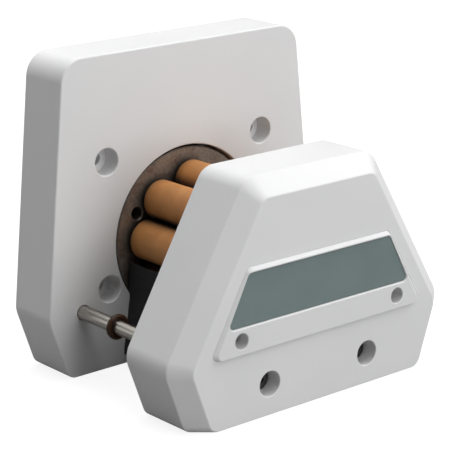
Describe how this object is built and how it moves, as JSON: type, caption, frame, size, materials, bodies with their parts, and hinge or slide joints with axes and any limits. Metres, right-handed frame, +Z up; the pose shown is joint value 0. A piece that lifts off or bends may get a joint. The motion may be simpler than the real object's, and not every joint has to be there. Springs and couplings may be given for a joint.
{
  "type": "peristaltic pump head",
  "caption": "Multichannel peristaltic pump head: roller rotor between a tall back plate and a bevelled front housing, joined by a saddle block and two guide rods.",
  "frame": {"origin": "middle of the footprint, on the surface that both housings stand on", "axes": "+X to the right seen from the front, +Y along the rotor axis towards the drive, +Z up"},
  "size_m": [0.1574, 0.1186, 0.145],
  "materials": {
    "housing_white": "fine satin moulded plastic",
    "label_grey_green": "printed satin label plate, no lettering",
    "saddle_black": "matt black engineering plastic",
    "rod_steel": "nickel-plated, drawn along its length",
    "ring_brown": "brown rubber",
    "disc_steel": "ground and blackened steel with mottled stains",
    "shaft_steel": "turned steel",
    "axle_steel": "ground steel",
    "roller_tan": "matt tan engineering plastic",
    "bush_bronze": "sintered bronze",
    "washer_black": "black sliding plastic",
    "bearing_steel": "polished bearing steel",
    "seal_black": "moulded bearing seal",
    "screw_steel": "zinc-plated steel",
    "spring_steel": "blued spring steel"
  },
  "bodies": {
    "pump_frame": {"back_plate": "housing_white", "front_housing": "housing_white", "badge_plate": "housing_white", "label_plate": "label_grey_green", "saddle_block": "saddle_black", "guide_rod_right": "rod_steel", "guide_rod_left": "rod_steel", "rod_ring_right": "ring_brown", "rod_ring_left": "ring_brown", "bearing_wave_washer": "spring_steel", "front_housing_screws": "screw_steel", "saddle_rear_screws": "screw_steel", "rod_screws": "screw_steel", "badge_screws": "screw_steel", "rear_bearing_outer_ring": "bearing_steel", "front_bearing_outer_ring": "bearing_steel", "rear_bearing_seals": "seal_black", "front_bearing_seals": "seal_black"},
    "rotor": {"rotor_shaft": "shaft_steel", "disc_keys": "shaft_steel", "shaft_circlips": "spring_steel", "rear_rotor_disc": "disc_steel", "front_rotor_disc": "disc_steel", "rear_thrust_washers": "washer_black", "front_thrust_washers": "washer_black", "rear_bearing_inner_ring": "bearing_steel", "front_bearing_inner_ring": "bearing_steel", "roller_1_axle": "axle_steel", "roller_2_axle": "axle_steel", "roller_3_axle": "axle_steel", "roller_4_axle": "axle_steel", "roller_5_axle": "axle_steel", "roller_6_axle": "axle_steel", "roller_7_axle": "axle_steel", "roller_8_axle": "axle_steel"},
    "rear_ball_cage": {"rear_bearing_balls": "bearing_steel"},
    "front_ball_cage": {"front_bearing_balls": "bearing_steel"},
    "roller_unit_1": {"roller_1": "roller_tan", "roller_1_bushes": "bush_bronze"},
    "roller_unit_2": {"roller_2": "roller_tan", "roller_2_bushes": "bush_bronze"},
    "roller_unit_3": {"roller_3": "roller_tan", "roller_3_bushes": "bush_bronze"},
    "roller_unit_4": {"roller_4": "roller_tan", "roller_4_bushes": "bush_bronze"},
    "roller_unit_5": {"roller_5": "roller_tan", "roller_5_bushes": "bush_bronze"},
    "roller_unit_6": {"roller_6": "roller_tan", "roller_6_bushes": "bush_bronze"},
    "roller_unit_7": {"roller_7": "roller_tan", "roller_7_bushes": "bush_bronze"},
    "roller_unit_8": {"roller_8": "roller_tan", "roller_8_bushes": "bush_bronze"}
  },
  "joints": [
    {"name": "rotor_spin", "type": "hinge", "parent": "pump_frame", "child": "rotor", "pos_m": [0, 0.0045, 0.056], "axis": [0, 1, 0], "continuous": true},
    {"name": "rear_ball_cage_spin", "type": "hinge", "parent": "pump_frame", "child": "rear_ball_cage", "pos_m": [0, 0.0487, 0.056], "axis": [0, 1, 0], "continuous": true},
    {"name": "front_ball_cage_spin", "type": "hinge", "parent": "pump_frame", "child": "front_ball_cage", "pos_m": [0, -0.0397, 0.056], "axis": [0, 1, 0], "continuous": true},
    {"name": "roller_1_spin", "type": "hinge", "parent": "rotor", "child": "roller_unit_1", "pos_m": [0.0013, 0.0045, 0.08087], "axis": [0, 1, 0], "continuous": true},
    {"name": "roller_2_spin", "type": "hinge", "parent": "rotor", "child": "roller_unit_2", "pos_m": [-0.01666, 0.0045, 0.0745], "axis": [0, 1, 0], "continuous": true},
    {"name": "roller_3_spin", "type": "hinge", "parent": "rotor", "child": "roller_unit_3", "pos_m": [-0.02487, 0.0045, 0.0573], "axis": [0, 1, 0], "continuous": true},
    {"name": "roller_4_spin", "type": "hinge", "parent": "rotor", "child": "roller_unit_4", "pos_m": [-0.0185, 0.0045, 0.03934], "axis": [0, 1, 0], "continuous": true},
    {"name": "roller_5_spin", "type": "hinge", "parent": "rotor", "child": "roller_unit_5", "pos_m": [-0.0013, 0.0045, 0.03113], "axis": [0, 1, 0], "continuous": true},
    {"name": "roller_6_spin", "type": "hinge", "parent": "rotor", "child": "roller_unit_6", "pos_m": [0.01666, 0.0045, 0.0375], "axis": [0, 1, 0], "continuous": true},
    {"name": "roller_7_spin", "type": "hinge", "parent": "rotor", "child": "roller_unit_7", "pos_m": [0.02487, 0.0045, 0.0547], "axis": [0, 1, 0], "continuous": true},
    {"name": "roller_8_spin", "type": "hinge", "parent": "rotor", "child": "roller_unit_8", "pos_m": [0.0185, 0.0045, 0.07266], "axis": [0, 1, 0], "continuous": true}
  ],
  "couplings": [
    {"joint": "rear_ball_cage_spin", "follows": "rotor_spin", "ratio": 0.3987},
    {"joint": "front_ball_cage_spin", "follows": "rotor_spin", "ratio": 0.3987}
  ]
}
